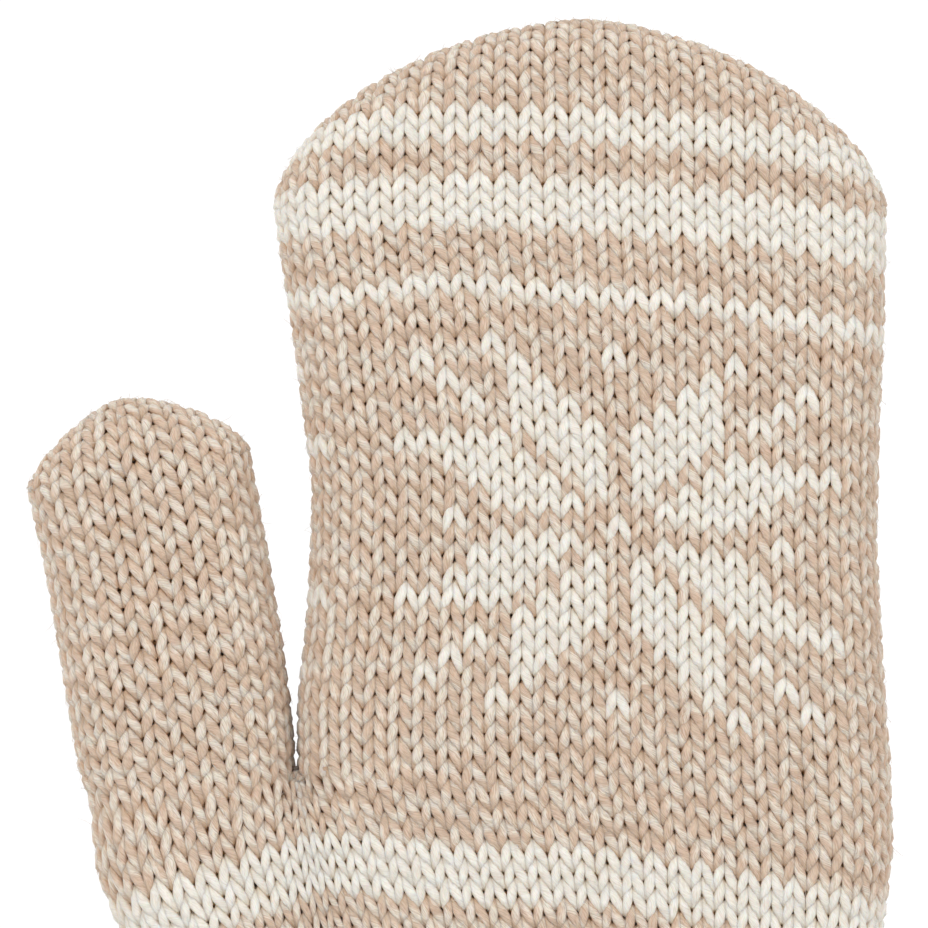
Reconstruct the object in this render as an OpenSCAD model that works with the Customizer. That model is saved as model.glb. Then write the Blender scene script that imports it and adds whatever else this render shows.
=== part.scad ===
/* [Overall size] */
// Height of the fingertips above the open end of the cuff
mitten_h = 262; // [258:1:266]
// Height of the wrist line, where the ribbed cuff ends and the palm begins
cuff_h = 62; // [58:1:66]
// Height of the crotch between the thumb and the hand
crotch_z = 129.5; // [127:0.5:132]
// Height of the knuckle line, where the fingers fold towards the palm
knuckle_z = 141; // [139:0.5:143]
// Height of the middle finger joints, where the fingertips fold
finger_joint_z = 206; // [203:1:209]
// Height of the two corners where the curved tip seam starts
shoulder_z = 229; // [227:0.5:231]
// Thickness of the filled mitten from the back of the hand to the palm
hand_thick = 22; // [20:0.5:24]
// Width of the rounded side edge, seen from the front
edge_r = 9; // [8:0.5:10]

/* [Layers] */
// Thickness of the knitted fabric
knit_t = 3; // [2.6:0.1:3.2]
// Thickness of the fleece lining
lining_t = 1.5; // [1.2:0.1:1.6]
// Air between the knitted fabric and the lining
layer_gap = 0.2; // [0.1:0.05:0.3]
// Clearance between two pieces that move against each other
joint_gap = 0.4; // [0.3:0.05:0.6]

/* [Tip] */
// X position of the highest point of the fingertips
tip_x = 4; // [0:0.5:8]
// Exponent of the tip curve, 2 is an ellipse and 1 a pointed gable
tip_power = 1.6; // [1.4:0.05:2]
// Width of the seam allowance turned to the inside along the tip
seam_w = 3; // [2:0.25:3.5]
// Thickness of the seam allowance, two layers of knit sewn together
seam_t = 2.8; // [2:0.2:3.2]

/* [Thumb] */
// Length of the thumb from its root line to its tip
thumb_l = 71; // [68:1:74]
// Angle of the thumb away from the hand
thumb_tilt = 10; // [9:0.5:12]
// Thickness of the thumb
thumb_thick = 20; // [18:0.5:20]
// Radius of the round root that turns in the palm
thumb_root_r = 18.1; // [17.5:0.1:18.5]
// Height of the thumb's own joint above its root line
thumb_joint_q = 36; // [34:1:38]
// Widest swing of the thumb away from the hand
thumb_swing = 30; // [20:1:32]

/* [Pattern] */
// Width of one knitted stitch
wale = 4.1; // [4:0.05:4.2]
// Height of one knitted row
course = 3.3; // [3.2:0.05:3.4]
// Depth to which the pattern yarn lies in the fabric
inlay = 1.2; // [1:0.1:1.5]
// Height of the star's centre
star_z = 173; // [172:0.5:174]
// X position of the star on the back of the hand
star_x = 13; // [11:0.5:15]
// X position of the star on the palm side, close to the thumb edge
palm_star_x = -16; // [-18:0.5:-14]

/* [Hidden] */

half_gap = joint_gap / 2;
half_thick = hand_thick / 2;
arc_steps = 8;               // straight steps round each rounded side edge
lining_in = knit_t + layer_gap;
cavity_in = lining_in + lining_t;
cuff_drop = 0.5;             // the cuff's faces lie this much inside the hand's
elastic_t = 0.8;
elastic_w = 8;
cuff_lining_in = lining_in + elastic_t + 0.1;
seam_gap = 0.7;              // the knit curves in towards the seam by less than this
tip_lining_in = knit_t + seam_w + 2 * layer_gap;
knit_beige = [0.80, 0.69, 0.60];
knit_cream = [0.92, 0.90, 0.86];
fleece = [0.86, 0.80, 0.72];
thread = [0.83, 0.76, 0.68];

// Side edges of the mitten as [height, x], from the cuff's open end up to the shoulders
thumb_edge = [[0, -49], [30, -48], [cuff_h, -48], [76, -57], [90, -68], [103, -76], [112, -78.5], [126, -79.5]];
hand_edge = [[crotch_z, -43.4], [150, -42.4], [165, -41.2], [180, -41.2], [finger_joint_z, -44.5],
    [shoulder_z, -47]];
outer_edge = [[0, 49], [30, 48], [cuff_h, 48], [76, 52], [90, 56.5], [103, 59.3], [116, 61], [130, 60.6],
    [150, 59.3], [170, 58.1], [190, 58.8], [210, 60], [shoulder_z, 60.5]];

// Root of the thumb: the centre of its round end, and its edges as [distance from the root, across]
root_c = [-61.9, crotch_z - 3.24];
thumb_in_edge = [[0, thumb_root_r], [10, thumb_root_r + 0.5], [22, 20], [37, 20.6], [58, 20.8]];
thumb_out_edge = [[0, -thumb_root_r], [12, -18.8], [58, -18.8]];
thumb_shoulder = thumb_l - 13;
thumb_tip_p = 2;

// Stripe borders, counted in rows of knitting from the row through the star's centre
narrow_z = star_z + 11.5 * course;
wide_z = star_z + 15.5 * course;
top_z = star_z + 20.5 * course;
palm_stripe_z = [star_z - 20.3 * course, star_z - 17.3 * course];

// How much of the full half width is left at a height t of the tip curve, from 0 to 1
function gable(t) = pow(max(0, 1 - pow(min(1, max(0, t)), tip_power)), 1 / tip_power);

// Roundness of the end: 1 away from the end, falling to 0 along a quarter circle
function end_round(d) = d >= edge_r ? 1 : sqrt(max(0, 1 - pow(1 - d / edge_r, 2)));

// Left and right x of the hand at height z, for a layer that lies e inside the outer face
function across_tip(z, side, e) = tip_x + (side - tip_x - sign(side) * e)
    * gable((z - shoulder_z) / (mitten_h - e - shoulder_z));
function left_x(z, e) = z > shoulder_z ? across_tip(z, -47, e) : lookup(z, hand_edge) + e;
function right_x(z, e) = z > shoulder_z ? across_tip(z, 60.5, e) : lookup(z, outer_edge) - e;
function thick_at(z, e) = (half_thick - 2.5 * pow(max(0, (z - finger_joint_z) / (mitten_h - finger_joint_z)), 2)
    - e) * end_round(mitten_h - e - z);

// One closed loop of points round a flat tube: x from l to r, y from -t to t, edges rounded by r_e
function loop(l, r, t, r_e) = let (w = min(r_e, 0.45 * (r - l))) concat(
    [for (k = [0 : arc_steps]) let (a = -90 + 180 * k / arc_steps) [r - w + w * cos(a), t * sin(a)]],
    [for (k = [0 : arc_steps]) let (a = 90 + 180 * k / arc_steps) [l + w + w * cos(a), t * sin(a)]]
);
function lift(points, z) = [for (p = points) [p[0], p[1], z]];

// Loops of the hand above the crotch, of the palm with the thumb's root, and of the cuff.
// e is the inset at the side edges and d the inset of the two broad faces.
function hand_loop(z, e, d) = lift(loop(left_x(z, e), right_x(z, e), thick_at(z, d), edge_r - d), z);
function palm_loop(z, e, d) = lift(loop(lookup(z, thumb_edge) + e, right_x(z, e), half_thick - d, edge_r - d), z);
function cuff_loop(z, e, d) = lift(loop(lookup(z, thumb_edge) + e, right_x(z, e),
    half_thick - cuff_drop - d, edge_r - d), z);

// Loops of the thumb in its own upright frame
function thumb_side(q, edge, full, e) = q > thumb_shoulder
    ? thumb_tip_p + (full - thumb_tip_p - sign(full) * e) * gable((q - thumb_shoulder) / (thumb_l - e - thumb_shoulder))
    : lookup(q, edge) - sign(full) * e;
function thumb_loop(q, e, d) = lift(loop(thumb_side(q, thumb_out_edge, -18.8, e),
    thumb_side(q, thumb_in_edge, 20.8, e), (thumb_thick / 2 - d) * end_round(thumb_l - e - q), edge_r - d), q);

// Levels for a closed end at height top, spaced closer where the end curves in
function end_levels(top) = [for (d = [11, 8, 5.5, 3.5, 1.8, 0.6]) top - d];

// A wall between outer and inner loops: a tube, or a cup when closed at the top
module wall(outer, inner, closed = false) {
    n = len(outer[0]);
    m = len(outer);
    k = len(inner);
    function o(i, j) = i * n + j % n;
    function q(i, j) = (m + i) * n + j % n;
    points = concat([for (r = outer) each r], [for (r = inner) each r]);
    side_out = [for (i = [0 : m - 2], j = [0 : n - 1], t = [0, 1])
        t == 0 ? [o(i, j), o(i + 1, j), o(i + 1, j + 1)] : [o(i, j), o(i + 1, j + 1), o(i, j + 1)]];
    side_in = [for (i = [0 : k - 2], j = [0 : n - 1], t = [0, 1])
        t == 0 ? [q(i, j), q(i + 1, j + 1), q(i + 1, j)] : [q(i, j), q(i, j + 1), q(i + 1, j + 1)]];
    foot = [for (j = [0 : n - 1], t = [0, 1])
        t == 0 ? [o(0, j), o(0, j + 1), q(0, j + 1)] : [o(0, j), q(0, j + 1), q(0, j)]];
    rim = [for (j = [0 : n - 1], t = [0, 1])
        t == 0 ? [o(m - 1, j), q(k - 1, j + 1), o(m - 1, j + 1)] : [o(m - 1, j), q(k - 1, j), q(k - 1, j + 1)]];
    caps = [[for (j = [n - 1 : -1 : 0]) o(m - 1, j)], [for (j = [0 : n - 1]) q(k - 1, j)]];
    polyhedron(points, concat(side_out, side_in, foot, closed ? caps : rim), convexity = 6);
}

// Tubes of knit or lining between the given levels
module hand_tube(levels, e0, e1, d0 = undef, d1 = undef) {
    a = is_undef(d0) ? e0 : d0;
    b = is_undef(d1) ? e1 : d1;
    wall([for (z = levels) hand_loop(z, e0, a)], [for (z = levels) hand_loop(z, e1, b)]);
}
module palm_tube(levels, e0, e1) {
    wall([for (z = levels) palm_loop(z, e0, e0)], [for (z = levels) palm_loop(z, e1, e1)]);
}
module cuff_tube(levels, e0, e1) {
    wall([for (z = levels) cuff_loop(z, e0, e0)], [for (z = levels) cuff_loop(z, e1, e1)]);
}

// The half of a piece on the back of the hand (-1) or on the palm side (1)
module half_of(side) {
    big = 400;
    intersection() {
        children();
        translate([-big / 2, side > 0 ? 0.05 : -big - 0.05, -big / 4]) cube([big, big, big * 1.2]);
    }
}

// The thumb's frame: X across the thumb, Z along it, origin at the centre of its round root
module in_thumb() {
    translate([root_c[0], 0, root_c[1]]) rotate([0, -thumb_tilt, 0]) children();
}

// A flat shape drawn in X and Z, as a slab from y0 to y1
module slab(y0, y1) {
    translate([0, y1, 0]) rotate([90, 0, 0]) linear_extrude(y1 - y0) children();
}

// Room for the thumb's round root and for its swing away from the hand
module thumb_room() {
    r = thumb_root_r + joint_gap;
    rim_angle = 181 + thumb_swing;
    rim = [r * cos(rim_angle), r * sin(rim_angle)];
    far = 60;
    in_thumb() slab(-half_thick - 1, half_thick + 1) {
        circle(r = r, $fn = 96);
        polygon([[0, 0], rim, [-far, rim[1]], [-far, far], [0, far]]);
    }
}

// Round root of the thumb: two half discs, and the bent wall that closes the open side,
// with the same rounded side edges as the thumb above it
module thumb_root(r, wall_t, y_out) {
    swing_rim = 186 + thumb_swing;
    intersection() {
        union() {
            slab(y_out - wall_t, y_out) circle(r = r, $fn = 96);
            slab(-y_out, -y_out + wall_t) circle(r = r, $fn = 96);
            slab(-y_out + wall_t, y_out - wall_t)
                intersection() {
                    difference() {
                        circle(r = r, $fn = 96);
                        circle(r = r - wall_t, $fn = 96);
                    }
                    polygon([[0, 0], [-2 * r, 0], 2 * r * [cos(swing_rim), sin(swing_rim)]]);
                }
        }
        translate([0, 0, -r - 1]) linear_extrude(r + 1) polygon(loop(-r, r, y_out, edge_r));
    }
}

// One stitch of the pattern at column a and row b from the star's centre
module stitch(a, b) {
    translate([a * wale, b * course]) square([0.86 * wale, 0.86 * course], center = true);
}

// The eight-petalled star: each quarter has an upright and a lying petal and three corner stitches
module star_shape() {
    petal = [[0.55, 1.3], [0.55, 5.4], [4.45, 8.6], [4.45, 4.9]];
    for (sx = [-1, 1], sz = [-1, 1]) scale([sx, sz]) {
        polygon([for (p = petal) [p[0] * wale, p[1] * course]]);
        polygon([for (p = petal) [p[1] * wale, p[0] * course]]);
        for (k = [6, 7, 8]) stitch(k, k);
        stitch(5, 9);
    }
    for (s = [-1, 1]) {
        stitch(7 * s, 0);
        stitch(0, 9 * s);
    }
    stitch(0, 0);
}

// The star laid into the broad face: side -1 is the back of the hand, 1 the palm
module star_inlay(side, x) {
    flat_l = -41 + edge_r;
    flat_r = 58 - edge_r;
    depth = side > 0 ? [half_thick - inlay, half_thick] : [-half_thick, -half_thick + inlay];
    slab(depth[0], depth[1]) intersection() {
        translate([x, star_z]) star_shape();
        translate([flat_l, star_z - 50]) square([flat_r - flat_l, 100]);
    }
}

// Ribbed cuff, its lining, the elastic at the wrist and the blank label
module rib_cuff() color(knit_beige) cuff_tube([0, 20, 42, cuff_h - half_gap], 0, knit_t);
module wrist_elastic() color("ivory")
    cuff_tube([cuff_h - 2 - elastic_w, cuff_h - 2], knit_t + 0.1, knit_t + 0.1 + elastic_t);
module hem_stitching() color(thread) cuff_tube([1, 2.2], knit_t, cuff_lining_in);
module cuff_lining() cuff_tube([0.5, 20, 42, cuff_h - half_gap], cuff_lining_in, cuff_lining_in + lining_t);
module cuff_lining_back() color(fleece) half_of(-1) cuff_lining();
module cuff_lining_palm() color(fleece) half_of(1) cuff_lining();
module size_label() color("white") {
    face = half_thick - cuff_drop - cuff_lining_in - lining_t;
    translate([-10, face - 0.7, 1]) cube([20, 0.7, 32]);
}

// Palm with the root of the thumb
module palm_knit_lower() color(knit_beige)
    palm_tube([cuff_h + half_gap, 76, 90, 103, palm_stripe_z[0]], 0, knit_t);
module palm_stripe() color(knit_cream) difference() {
    palm_tube([palm_stripe_z[0], 112, palm_stripe_z[1]], 0, knit_t);
    thumb_room();
}
module palm_upper(e0, e1) {
    difference() {
        palm_tube([palm_stripe_z[1], 120, root_c[1]], e0, e1);
        thumb_room();
    }
    hand_tube([root_c[1], 134, knuckle_z - half_gap], e0, e1);
}
module palm_knit_upper() color(knit_beige) palm_upper(0, knit_t);
module palm_lining() {
    difference() {
        palm_tube([cuff_h + half_gap, 76, 90, 103, 112, root_c[1]], lining_in, cavity_in);
        thumb_room();
    }
    hand_tube([root_c[1], 134, knuckle_z - half_gap], lining_in, cavity_in);
}
module palm_lining_back() color(fleece) half_of(-1) palm_lining();
module palm_lining_palm() color(fleece) half_of(1) palm_lining();

// Fingers, from the knuckles to the middle joints, with the two stars
finger_levels = [knuckle_z + half_gap, 150, 165, 180, 192, finger_joint_z - half_gap];
module finger_knit() color(knit_beige) difference() {
    hand_tube(finger_levels, 0, knit_t);
    star_inlay(-1, star_x);
    star_inlay(1, palm_star_x);
}
module back_star() color(knit_cream) star_inlay(-1, star_x);
module palm_star() color(knit_cream) star_inlay(1, palm_star_x);
module finger_lining() hand_tube(finger_levels, lining_in, cavity_in);
module finger_lining_back() color(fleece) half_of(-1) finger_lining();
module finger_lining_palm() color(fleece) half_of(1) finger_lining();

// Fingertips: bands of beige and cream up to the crown, with the turned seam inside
module tip_knit_lower() color(knit_beige) hand_tube([finger_joint_z + half_gap, narrow_z], 0, knit_t);
module narrow_stripe() color(knit_cream) hand_tube([narrow_z, narrow_z + course], 0, knit_t);
module tip_knit_middle() color(knit_beige) hand_tube([narrow_z + course, wide_z], 0, knit_t);
module wide_stripe() color(knit_cream)
    hand_tube([wide_z, shoulder_z, wide_z + 3 * course], 0, knit_t);
module tip_knit_upper() color(knit_beige) hand_tube([wide_z + 3 * course, top_z], 0, knit_t);
module top_stripe() color(knit_cream) hand_tube([top_z, top_z + 2 * course], 0, knit_t);
module crown(start, e0, e1, d0, d1) {
    wall([for (z = concat(start, end_levels(mitten_h - e0))) hand_loop(z, e0, d0)],
        [for (z = concat(start, end_levels(mitten_h - e1))) hand_loop(z, e1, d1)], closed = true);
}
module tip_crown() color(knit_beige) crown([top_z + 2 * course], 0, knit_t, 0, knit_t);
module tip_arch(e0, e1, cx, left, right, base, top) {
    function arc(e, a) = let (c = cos(a), s = sin(a), side = c < 0 ? left : right)
        [cx + (abs(side - cx) - e) * sign(c) * pow(abs(c), 2 / tip_power),
         base + (top - base - e) * pow(abs(s), 2 / tip_power)];
    polygon(concat([for (a = [8 : 8.2 : 172]) arc(e0, a)], [for (a = [172 : -8.2 : 8]) arc(e1, a)]));
}
module tip_seam() color(thread) slab(-seam_t / 2, seam_t / 2)
    tip_arch(knit_t + seam_gap, knit_t + seam_w, tip_x, -47, 60.5, shoulder_z, mitten_h);
module tip_lining() crown([finger_joint_z + half_gap, 220, shoulder_z, 236, 243],
    tip_lining_in, tip_lining_in + lining_t, lining_in, cavity_in);
module tip_lining_back() color(fleece) half_of(-1) tip_lining();
module tip_lining_palm() color(fleece) half_of(1) tip_lining();

// Thumb, from its round root to its own joint
module thumb_tube(levels, e0, e1) {
    wall([for (q = levels) thumb_loop(q, e0, e0)], [for (q = levels) thumb_loop(q, e1, e1)]);
}
thumb_levels = [0, 12, 22, thumb_joint_q - half_gap];
module thumb_knit() color(knit_beige) in_thumb() {
    thumb_tube(thumb_levels, 0, knit_t);
    thumb_root(thumb_root_r, knit_t, thumb_thick / 2);
}
module thumb_lining() in_thumb() {
    thumb_tube(thumb_levels, lining_in, cavity_in);
    thumb_root(thumb_root_r - lining_in, lining_t, thumb_thick / 2 - lining_in);
}
module thumb_lining_back() color(fleece) half_of(-1) thumb_lining();
module thumb_lining_palm() color(fleece) half_of(1) thumb_lining();

// End of the thumb, closed by its own curved seam
module thumb_cup(start, e0, e1, d0, d1) {
    wall([for (q = concat(start, end_levels(thumb_l - e0))) thumb_loop(q, e0, d0)],
        [for (q = concat(start, end_levels(thumb_l - e1))) thumb_loop(q, e1, d1)], closed = true);
}
module thumb_tip_knit() color(knit_beige) in_thumb()
    thumb_cup([thumb_joint_q + half_gap, 47, thumb_shoulder], 0, knit_t, 0, knit_t);
module thumb_tip_seam() color(thread) in_thumb() slab(-seam_t / 2, seam_t / 2)
    tip_arch(knit_t + seam_gap, knit_t + seam_w, thumb_tip_p, -18.8, 20.8, thumb_shoulder, thumb_l);
module thumb_tip_lining() in_thumb() thumb_cup([thumb_joint_q + half_gap, 47],
    tip_lining_in, tip_lining_in + lining_t, lining_in, cavity_in);
module thumb_tip_lining_back() color(fleece) half_of(-1) thumb_tip_lining();
module thumb_tip_lining_palm() color(fleece) half_of(1) thumb_tip_lining();

rib_cuff();
wrist_elastic();
hem_stitching();
cuff_lining_back();
cuff_lining_palm();
size_label();
palm_knit_lower();
palm_stripe();
palm_knit_upper();
palm_lining_back();
palm_lining_palm();
finger_knit();
back_star();
palm_star();
finger_lining_back();
finger_lining_palm();
tip_knit_lower();
narrow_stripe();
tip_knit_middle();
wide_stripe();
tip_knit_upper();
top_stripe();
tip_crown();
tip_seam();
tip_lining_back();
tip_lining_palm();
thumb_knit();
thumb_lining_back();
thumb_lining_palm();
thumb_tip_knit();
thumb_tip_seam();
thumb_tip_lining_back();
thumb_tip_lining_palm();
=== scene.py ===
# %% [markdown]
# # A knitted mitten
# The real mitten is knitted in the round from the fingertips down to the cuff, in a two-ply
# marl yarn with a cream pattern. It is lined with fleece and its curved tip is sewn shut.
# This lesson lays real loops of yarn over the mitten's form, because a knitted surface drawn
# on a smooth body never casts the small shadows that make wool look like wool.

# %% Load the parts of the model
import math

import bpy
import numpy as np
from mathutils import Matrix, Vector


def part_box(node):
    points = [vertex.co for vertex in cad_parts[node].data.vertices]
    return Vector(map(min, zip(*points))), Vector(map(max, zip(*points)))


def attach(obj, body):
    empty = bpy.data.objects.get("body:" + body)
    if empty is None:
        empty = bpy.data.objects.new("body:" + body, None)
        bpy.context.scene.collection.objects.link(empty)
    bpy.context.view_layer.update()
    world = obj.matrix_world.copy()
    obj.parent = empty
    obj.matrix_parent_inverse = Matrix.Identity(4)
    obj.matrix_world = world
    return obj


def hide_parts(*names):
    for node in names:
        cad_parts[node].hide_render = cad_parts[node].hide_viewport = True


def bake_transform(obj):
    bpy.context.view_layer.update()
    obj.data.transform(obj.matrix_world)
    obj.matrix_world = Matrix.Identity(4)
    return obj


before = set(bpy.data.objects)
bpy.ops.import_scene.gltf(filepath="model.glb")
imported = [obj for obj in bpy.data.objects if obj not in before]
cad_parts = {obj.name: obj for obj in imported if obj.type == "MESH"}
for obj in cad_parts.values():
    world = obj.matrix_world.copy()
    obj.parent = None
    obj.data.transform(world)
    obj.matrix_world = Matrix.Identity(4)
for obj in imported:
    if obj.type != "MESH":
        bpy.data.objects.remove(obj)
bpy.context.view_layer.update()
MM = 0.001
rng = np.random.default_rng(7)

# %% [markdown]
# ## The form under the wool
# A pattern cutter would draw the mitten's outline first. Each edge is a short list of
# heights and widths in millimetres, read between its points, as a dressmaker's curve is.
# The thumb is drawn upright on its own root and tilted into place later.

# %% Edges of the mitten, in millimetres
CROTCH_Z = 129.5                       # where the thumb parts from the hand
FINGER_Z = 206.0                       # middle joints of the fingers
SHOULDER_Z = 229.0                     # where the straight sides turn into the curved tip
TIP_Z = 262.8
HAND_T, THUMB_T, CUFF_T = 11.0, 10.0, 10.5      # half the thickness of each part
PALM_EDGE = ([0, 30, 62, 76, 90, 103, 112, 126], [-49, -48, -48, -57, -68, -76, -79.2, -80.7])
INNER_LINE = ([0, 62, 80, 103, 129.5, 140, 148, 153, 165, 180, 206, 229],
              [-22.8, -22.3, -30, -38, -43.8, -43.9, -43.3, -42.6, -41.7, -41.2, -44.6, -48])
OUTER_EDGE = ([0, 30, 62, 76, 90, 103, 116, 130, 150, 170, 190, 210, 229],
              [49, 48, 48, 52.3, 57.1, 60.3, 61.8, 61.4, 60, 58.9, 59.4, 60.3, 60.6])
THUMB_ROOT = np.array([-61.9, 126.26])
THUMB_TILT = math.radians(10)
THUMB_SHOULDER, THUMB_L = 58.0, 70.9
THUMB_IN = ([0, 5, 13, 22, 37, 58], [18.6, 19.2, 19.8, 20.2, 20.4, 20.4])
THUMB_OUT = ([0, 12, 40, 58], [-19.8, -19.6, -19.3, -19.9])


def edge(line, at):
    """Reads a curve, given as its heights and its values, at any height."""
    return np.interp(at, line[0], line[1])


print(f"hand {edge(OUTER_EDGE, 173) - edge(INNER_LINE, 173):.1f} mm wide at the star")

# %% Cloth that rolls over an edge
EDGE_R = 9.0
ROLL = (math.pi / 2 - 1) * EDGE_R      # length that the rolled edge takes up out of sight


def smooth(t):
    """Rises from 0 to 1 with t, without a kink at either end."""
    t = np.clip(t, 0, 1)
    return t * t * (3 - 2 * t)


def unit(vectors):
    return vectors / (np.linalg.norm(vectors, axis=1)[:, None] + 1e-9)


def roll(distance):
    """How far inside an edge cloth lies and its share of the full depth, at this distance along it."""
    angle = np.clip(distance / EDGE_R, 0, math.pi / 2)
    on_roll = distance < EDGE_R * math.pi / 2
    return np.where(on_roll, EDGE_R * (1 - np.cos(angle)), distance - ROLL), np.sin(angle)


print(f"unrolled hand: {edge(OUTER_EDGE, 173) - edge(INNER_LINE, 173) + 2 * ROLL:.1f} mm of cloth a side")

# %% Cloth round the crotch
CROTCH_ROW = -13.25
ROW_MM = 3.4                           # height of a row below the crotch
EDGE_ENDS, WALES_SPREAD = 10, 62       # distances below it in which the edge ends and the wales spread
GATHER = 8                             # width of the gathered cloth
PIT = 0.38                             # share of the depth left at the bottom of the pit


def open_out(row, c, wales, width):
    """Where a wale lies below the crotch: the rolled edge ends at once, its wales only spread slowly."""
    below = (CROTCH_ROW - row) * ROW_MM
    fast, slow = smooth(below / EDGE_ENDS), smooth(below / WALES_SPREAD)
    along = c / wales * (width + ROLL * (2 - slow))
    inner, _ = roll(along)
    gathered = along - (1 - slow) * ROLL * (1 - np.exp(-along / GATHER))
    return (1 - fast) * inner + fast * gathered


def pucker(share, along, below):
    """The cloth's depth near the crotch, where it is drawn in to a soft pit under both rolled edges."""
    near = np.hypot(along, np.clip(below, 0, None)) / EDGE_R
    pit = PIT + (1 - PIT) * smooth(near * 0.95)
    under = smooth(below / 3.0)
    edge_share = np.sqrt(1 - (1 - np.clip(near, 0, 1)) ** 2)
    return np.minimum(share, (1 - under) * edge_share + under * pit)


print(f"crotch {CROTCH_Z:.0f} mm above the hem, its pit {(1 - PIT) * HAND_T:.1f} mm deep")

# %% Outlines of the two curved tips
TIP_POINTS, SIDE_POINTS = 500, 60


def tip_outline(centre, left, right, base, top, powers):
    """Points along a curved tip and the ways out of it; powers says how full it is to each side."""
    a = np.linspace(0, math.pi, TIP_POINTS)
    side = np.where(np.cos(a) < 0, centre - left, right - centre)
    power = 2 / np.where(np.cos(a) < 0, *powers)
    x = centre + side * np.sign(np.cos(a)) * np.abs(np.cos(a)) ** power
    z = base + (top - base) * np.abs(np.sin(a)) ** power
    low = np.linspace(base - 30, base - 0.1, SIDE_POINTS)
    x = np.concatenate([np.full(SIDE_POINTS, x[0]), x, np.full(SIDE_POINTS, x[-1])])
    z = np.concatenate([low, z, low[::-1]])
    dx, dz = np.gradient(x), np.gradient(z)
    size = np.hypot(dx, dz) + 1e-9
    return x, z, dz / size, -dx / size


SHOULDER_LEFT, SHOULDER_RIGHT = edge(INNER_LINE, SHOULDER_Z), edge(OUTER_EDGE, SHOULDER_Z)
HAND_TIP = tip_outline(7, SHOULDER_LEFT, SHOULDER_RIGHT, SHOULDER_Z, TIP_Z, (1.74, 1.66))
THUMB_TIP = tip_outline(-1, THUMB_OUT[1][-1], THUMB_IN[1][-1], THUMB_SHOULDER, THUMB_L, (1.32, 1.5))


def fold_tip(x, z, outline):
    """Rolls flat cloth over a curved tip.

    Gives where each point goes, its share of the depth, the cloth left to the seam and the way out.
    """
    line_x, line_z, away_x, away_z = outline
    near = np.argmin((x[:, None] - line_x) ** 2 + (z[:, None] - line_z) ** 2, axis=1)
    away_x, away_z = away_x[near], away_z[near]
    inside = (line_x[near] - x) * away_x + (line_z[near] - z) * away_z
    left = inside + ROLL
    kept, share = roll(left)
    kept = np.where(left < 0, -left, kept)
    lean = np.sqrt(1 - share ** 2)
    out = np.stack([away_x * lean, -share, away_z * lean], 1)
    return x + away_x * (inside - kept), z + away_z * (inside - kept), share, left, out


print(f"tips rise {TIP_Z - SHOULDER_Z:.1f} and {THUMB_L - THUMB_SHOULDER:.1f} mm above their shoulders")

# %% [markdown]
# ## Rows and wales
# Knitted cloth has its own map: wales are the columns of stitches and courses are the rows.
# The hand has 54 wales, the thumb 22, and the two run together below the crotch as 76.
# Each place on that map is turned into a point of the mitten, with the rows drooping a
# little to both sides as they do on a worn mitten.

# %% How high a row lies
HAND_WALES, THUMB_WALES = 27, 11       # on one side of the mitten
RINGS = {"palm": HAND_WALES + THUMB_WALES, "hand": HAND_WALES, "thumb": THUMB_WALES}
ROWS = ([-51.8, -33, 0, 12, 17, 40], [0.0, 60.2, 172.9, 213.2, 229.0, 301.0])
MIDDLE_X, HALF_W = 9.6, 52.5
LEAN = ([113, 229], [6.5, 2.85])       # how far rows fall towards the little finger, by height
DIP = ([113, 165, 213, 229, 241], [-1.6, 0, 1.8, 0.6, 0])       # a wave on the thumb's side
DROOP = 3.8


def row_height(row, x):
    z = edge(ROWS, row)
    t = (x - MIDDLE_X) / HALF_W
    sag = edge(DIP, z) * np.exp(-((x + 16) / 14) ** 2)
    return z + (sag - edge(LEAN, z) * t - DROOP * t * t) * smooth((z - 2) / 105)


print("wales a side:", RINGS)

# %% The front of the hand
NO_SEAM = 99.0                         # cloth left to the seam wherever there is none
SEAM_GAP = 0.3
OUT_KNOWN = 6                          # the way out is worked out exactly from this far below a tip


def way_out(side, share, near):
    """The way out of the cloth just below a tip; side is -1 to its left and 1 to its right."""
    out = np.zeros((len(share), 3))
    out[near] = np.stack([side * np.sqrt(1 - share ** 2), -share, 0 * share], 1)[near]
    return out


def cuff_thinning(z):
    return (HAND_T - CUFF_T) * (1 - smooth((z - 50) / 24))


def hand_thickness(row, z, rel):
    """Half the hand's thickness: thinner over the fingers, beside the crotch and in the cuff."""
    fingers = 2.5 * np.clip((z - FINGER_Z) / 56, 0, None) ** 2
    crotch = (1 - smooth((CROTCH_ROW - row) / 5)) * (z < CROTCH_Z) * (1 - smooth(rel / 12))
    return HAND_T - fingers - crotch - cuff_thinning(z)


def hand_cloth(c, row):
    """Points of the hand's front: c from 0 at the thumb side to 27 at the outer side."""
    x = np.zeros_like(c)
    for _ in range(3):
        z = row_height(row, x)
        level = np.minimum(z, SHOULDER_Z)
        left, right = edge(INNER_LINE, level), edge(OUTER_EDGE, level)
        span = right - left
        rel = open_out(row, c, HAND_WALES, span)
        from_right, share = roll(span + ROLL - rel)
        x = left + np.where(rel > span / 2, span - from_right, rel)
    share = pucker(share, rel, CROTCH_Z - z)
    thick = hand_thickness(row, z, rel)
    y = share * thick
    seam_left = np.full_like(c, NO_SEAM)
    out = way_out(np.where(rel > span / 2, 1, -1), share, z > SHOULDER_Z - OUT_KNOWN)
    tip = z > SHOULDER_Z
    if tip.any():
        flat_w = SHOULDER_RIGHT - SHOULDER_LEFT + 2 * ROLL
        flat_x = SHOULDER_LEFT - ROLL + c[tip] / HAND_WALES * flat_w
        flat_z = row_height(row[tip], flat_x)
        x[tip], z[tip], tip_share, seam_left[tip], out[tip] = fold_tip(flat_x, flat_z, HAND_TIP)
        gap = SEAM_GAP * smooth((flat_z - SHOULDER_Z) / 7)
        y[tip] = gap + (thick[tip] - gap) * tip_share
    return x, y, z, seam_left, out


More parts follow.
